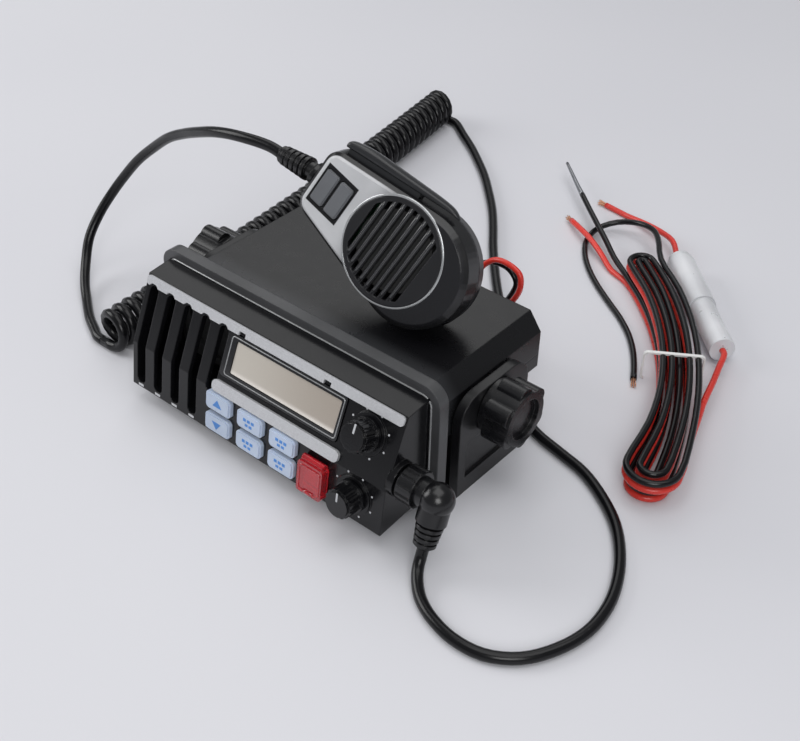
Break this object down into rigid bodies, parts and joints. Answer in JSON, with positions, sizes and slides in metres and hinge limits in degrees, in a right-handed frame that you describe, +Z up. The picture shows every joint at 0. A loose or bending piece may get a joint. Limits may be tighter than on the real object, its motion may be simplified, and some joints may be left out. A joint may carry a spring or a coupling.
{
  "type": "vhf marine radio",
  "caption": "Fixed marine radio in a tilting gimbal bracket, with speaker slots, display, keys and dials, a fist microphone on a curly cord and a folded fused power lead.",
  "frame": {"origin": "centre of the four mounting holes in the underside of the bracket's base", "axes": "+Z up, the front panel faces -Y, +X to the right of the object's user"},
  "size_m": [0.35, 0.3398, 0.1291],
  "materials": {
    "black_paint": "satin black powder coat, fine grain",
    "case_grey": "satin dark grey paint on cast metal",
    "rim_grey": "satin mid grey",
    "panel_black": "satin black moulding with fine texture",
    "gloss_black": "glossy black",
    "silver_paint": "sparkling silver paint",
    "display_glass": "clear window, warm grey",
    "display_grey": "unlit display",
    "key_white": "translucent pale blue",
    "red_clear": "translucent red",
    "brass": "turned",
    "steel": "plated",
    "nickel": "bright nickel plate",
    "circuit_board": "green solder mask",
    "rubber_black": "matte black rubber",
    "cord_black": "satin black cord jacket",
    "wire_red": "satin red wire jacket",
    "wire_black": "satin black wire jacket",
    "milky_plastic": "milky translucent",
    "mic_grey": "satin silver grey",
    "mic_black": "satin black",
    "speaker_black": "pressed black paper"
  },
  "bodies": {
    "bracket": {"bracket": "black_paint", "friction_washers": "rubber_black", "curly_cord": "cord_black", "mic_lead": "cord_black", "plug_lead": "cord_black", "power_red": "wire_red", "power_black": "wire_black", "fuse_holder": "milky_plastic", "cable_tie": "milky_plastic", "power_connector": "milky_plastic"},
    "head": {"top_cover": "case_grey", "chassis": "case_grey", "front_housing": "panel_black", "front_rim": "rim_grey", "silver_trim_upper": "silver_paint", "silver_trim_lower": "silver_paint", "case_seal": "rubber_black", "threaded_inserts": "brass", "case_screws": "steel", "speaker_frame": "steel", "speaker_cone": "speaker_black", "display_bezel": "gloss_black", "display_lens": "display_glass", "display_module": "display_grey", "front_board": "circuit_board", "keypad_mat": "rubber_black", "main_board": "circuit_board", "shield_can": "steel", "antenna_socket": "nickel", "antenna_contact": "brass", "lead_gland": "rubber_black", "mic_socket": "gloss_black", "dial_encoders": "steel", "plug_body": "rubber_black", "pigtail_red": "wire_red", "pigtail_black": "wire_black"},
    "knob_right": {"clamp_knob_right": "rubber_black"},
    "knob_left": {"clamp_knob_left": "rubber_black"},
    "dial_upper": {"upper_dial": "gloss_black", "upper_shaft": "steel"},
    "dial_lower": {"lower_dial": "gloss_black", "lower_shaft": "steel"},
    "key_up": {"key_up": "key_white"},
    "key_down": {"key_down": "key_white"},
    "key_1": {"key_1": "key_white"},
    "key_2": {"key_2": "key_white"},
    "key_3": {"key_3": "key_white"},
    "key_4": {"key_4": "key_white"},
    "distress_cover": {"distress_cover": "red_clear"},
    "distress_key": {"distress_key": "red_clear"},
    "plug_ring": {"plug_ring": "gloss_black"},
    "mic": {"mic_front_shell": "mic_grey", "mic_back_shell": "mic_black", "mic_grille": "gloss_black", "mic_speaker": "steel", "mic_board": "circuit_board", "mic_boot": "rubber_black"},
    "talk_switch": {"talk_switch": "mic_black"},
    "mic_key_left": {"mic_key_left": "mic_grey"},
    "mic_key_right": {"mic_key_right": "mic_grey"}
  },
  "joints": [
    {"name": "head_tilt", "type": "hinge", "parent": "bracket", "child": "head", "pos_m": [0, 0, 0.039], "axis": [1, 0, 0], "range_deg": [-20, 3], "deforming": ["plug_lead", "mic_lead", "pigtail_red", "pigtail_black"]},
    {"name": "knob_right_turn", "type": "hinge", "parent": "head", "child": "knob_right", "pos_m": [0.09, 0, 0.039], "axis": [1, 0, 0], "range_deg": [0, 270]},
    {"name": "knob_left_turn", "type": "hinge", "parent": "head", "child": "knob_left", "pos_m": [-0.09, 0, 0.039], "axis": [-1, 0, 0], "range_deg": [0, 270]},
    {"name": "upper_dial_turn", "type": "hinge", "parent": "head", "child": "dial_upper", "pos_m": [0.061, -0.05928, 0.04879], "axis": [0, -0.9141, 0.4056], "range_deg": [0, 300]},
    {"name": "lower_dial_turn", "type": "hinge", "parent": "head", "child": "dial_lower", "pos_m": [0.061, -0.0684, 0.0215], "axis": [0, -0.9901, 0.1402], "range_deg": [0, 300]},
    {"name": "key_up_press", "type": "slide", "parent": "head", "child": "key_up", "axis": [0, 0.9901, -0.1402], "range_m": [0, 0.0008], "stiffness_N_per_m": 400},
    {"name": "key_down_press", "type": "slide", "parent": "head", "child": "key_down", "axis": [0, 0.9901, -0.1402], "range_m": [0, 0.0008], "stiffness_N_per_m": 400},
    {"name": "key_1_press", "type": "slide", "parent": "head", "child": "key_1", "axis": [0, 0.9901, -0.1402], "range_m": [0, 0.0008], "stiffness_N_per_m": 400},
    {"name": "key_2_press", "type": "slide", "parent": "head", "child": "key_2", "axis": [0, 0.9901, -0.1402], "range_m": [0, 0.0008], "stiffness_N_per_m": 400},
    {"name": "key_3_press", "type": "slide", "parent": "head", "child": "key_3", "axis": [0, 0.9901, -0.1402], "range_m": [0, 0.0008], "stiffness_N_per_m": 400},
    {"name": "key_4_press", "type": "slide", "parent": "head", "child": "key_4", "axis": [0, 0.9901, -0.1402], "range_m": [0, 0.0008], "stiffness_N_per_m": 400},
    {"name": "distress_key_press", "type": "slide", "parent": "head", "child": "distress_key", "axis": [0, 0.9901, -0.1402], "range_m": [0, 0.0008], "stiffness_N_per_m": 400},
    {"name": "distress_cover_lift", "type": "hinge", "parent": "head", "child": "distress_cover", "pos_m": [0.04, -0.06961, 0.02722], "axis": [1, 0, 0], "range_deg": [-110, 0]},
    {"name": "plug_ring_turn", "type": "hinge", "parent": "head", "child": "plug_ring", "pos_m": [0.085, -0.0585, 0.034], "axis": [1, 0, 0], "range_deg": [0, 90]},
    {"name": "mic_lift", "type": "slide", "parent": "head", "child": "mic", "axis": [0, 0, 1], "range_m": [0, 0.06], "deforming": ["mic_lead"]},
    {"name": "talk_press", "type": "slide", "parent": "mic", "child": "talk_switch", "axis": [-0.194, -0.4001, -0.8957], "range_m": [0, 0.0012], "stiffness_N_per_m": 500},
    {"name": "mic_key_left_press", "type": "slide", "parent": "mic", "child": "mic_key_left", "axis": [-0.1622, 0.9135, -0.373], "range_m": [0, 0.0008], "stiffness_N_per_m": 400},
    {"name": "mic_key_right_press", "type": "slide", "parent": "mic", "child": "mic_key_right", "axis": [-0.1622, 0.9135, -0.373], "range_m": [0, 0.0008], "stiffness_N_per_m": 400}
  ]
}
